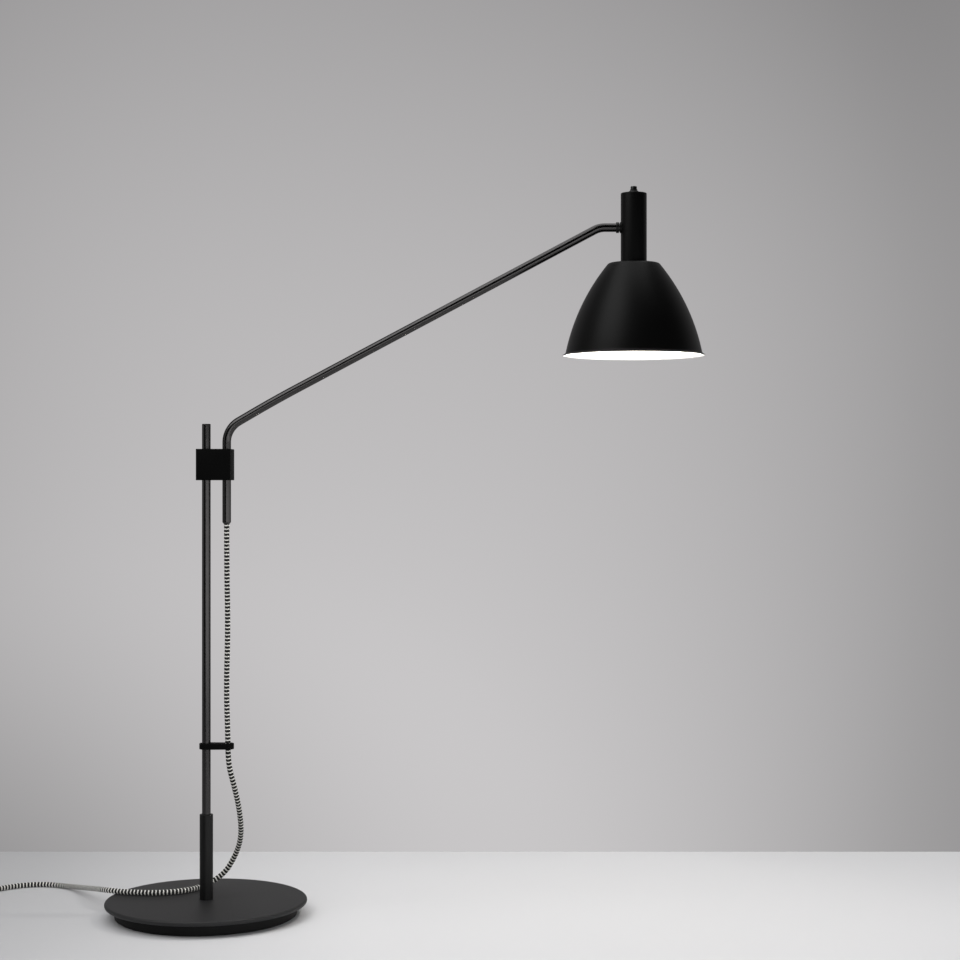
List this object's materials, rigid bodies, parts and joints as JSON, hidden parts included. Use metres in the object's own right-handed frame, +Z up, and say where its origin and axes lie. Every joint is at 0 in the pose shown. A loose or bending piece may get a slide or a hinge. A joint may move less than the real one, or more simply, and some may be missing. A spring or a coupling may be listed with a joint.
{
  "type": "table lamp with a post and a sliding arm",
  "caption": "Table lamp: a weighted round base, an upright post, and a bent tube arm held by a sliding block that also turns, with a tilting bell shade, push switch and braided cord.",
  "frame": {"origin": "centre of the base's underside, below the post's axis", "axes": "+Z up along the post, +X from the post towards the head, +Y to the back, where the cord hangs"},
  "size_m": [0.9671, 0.2951, 0.842],
  "materials": {
    "base_paint": "satin powder coat",
    "weight_iron": "painted, satin",
    "pad_rubber": "matt",
    "tube_paint": "satin powder coat, graphite",
    "block_paint": "satin powder coat",
    "shade_paint": "satin black outside, white inside",
    "plain_steel": "zinc plated",
    "nylon": "moulded",
    "holder_plastic": "moulded thermoset",
    "brass": "plain",
    "cap_metal": "plain",
    "bulb_glass": "opal coated",
    "button_plastic": "moulded",
    "cord_braid": "braided sleeve in black and white",
    "wire_sleeve": "insulated wire",
    "plug_plastic": "moulded",
    "pin_nickel": "nickel plated"
  },
  "bodies": {
    "base": {"base_plate": "base_paint", "base_weight": "weight_iron", "base_pad": "pad_rubber", "base_washer": "plain_steel", "base_bolt": "plain_steel", "post_socket": "tube_paint", "post_screw": "plain_steel", "post_tube": "tube_paint", "post_cap": "tube_paint", "cord_drop": "cord_braid", "cord_lead": "cord_braid", "cord_coil": "cord_braid", "cord_tail": "cord_braid", "plug_relief": "plug_plastic", "plug_body": "plug_plastic", "plug_pins": "pin_nickel"},
    "clip": {"cord_clip": "nylon"},
    "post_bush": {"post_liner": "nylon"},
    "block": {"clamp_block": "block_paint", "brake_pads": "nylon", "brake_screws": "plain_steel"},
    "arm_bush": {"arm_liner": "nylon"},
    "arm": {"arm_tube": "tube_paint", "arm_gland": "nylon", "arm_lead": "wire_sleeve", "swivel_pin": "tube_paint", "neck_washer": "nylon", "swivel_spring": "plain_steel", "swivel_nut": "plain_steel"},
    "head": {"swivel_seat": "shade_paint", "inner_seat": "nylon", "head_housing": "shade_paint", "housing_screws": "plain_steel", "lampholder": "holder_plastic", "screw_shell": "brass", "centre_contact": "brass", "shade": "shade_paint", "shade_ring": "holder_plastic", "bulb_glass": "bulb_glass", "bulb_cap": "cap_metal", "head_wires": "wire_sleeve", "switch_body": "button_plastic", "switch_nut": "tube_paint"},
    "button": {"switch_button": "button_plastic"}
  },
  "joints": [
    {"name": "block_slide", "type": "slide", "parent": "base", "child": "post_bush", "axis": [0, 0, 1], "range_m": [-0.12, 0.025], "deforming": ["cord_drop"]},
    {"name": "block_swivel", "type": "hinge", "parent": "post_bush", "child": "block", "pos_m": [0, 0, 0.5205], "axis": [0, 0, 1], "range_deg": [-90, 90], "deforming": ["cord_drop"]},
    {"name": "arm_swivel", "type": "hinge", "parent": "block", "child": "arm_bush", "pos_m": [0.0235, 0, 0.5205], "axis": [0, 0, 1], "range_deg": [-140, 140], "deforming": ["cord_drop"]},
    {"name": "arm_slide", "type": "slide", "parent": "arm_bush", "child": "arm", "axis": [0, 0, 1], "range_m": [-0.007, 0.04], "deforming": ["cord_drop"]},
    {"name": "head_tilt", "type": "hinge", "parent": "arm", "child": "head", "pos_m": [0.4785, 0, 0.7942], "axis": [1, 0, 0], "range_deg": [-90, 90]},
    {"name": "switch_press", "type": "slide", "parent": "head", "child": "button", "axis": [0, 0, -1], "range_m": [0, 0.002], "stiffness_N_per_m": 400, "springref_m": -0.001},
    {"name": "clip_slide", "type": "slide", "parent": "base", "child": "clip", "axis": [0, 0, 1], "range_m": [-0.005, 0.08], "deforming": ["cord_drop"]}
  ]
}
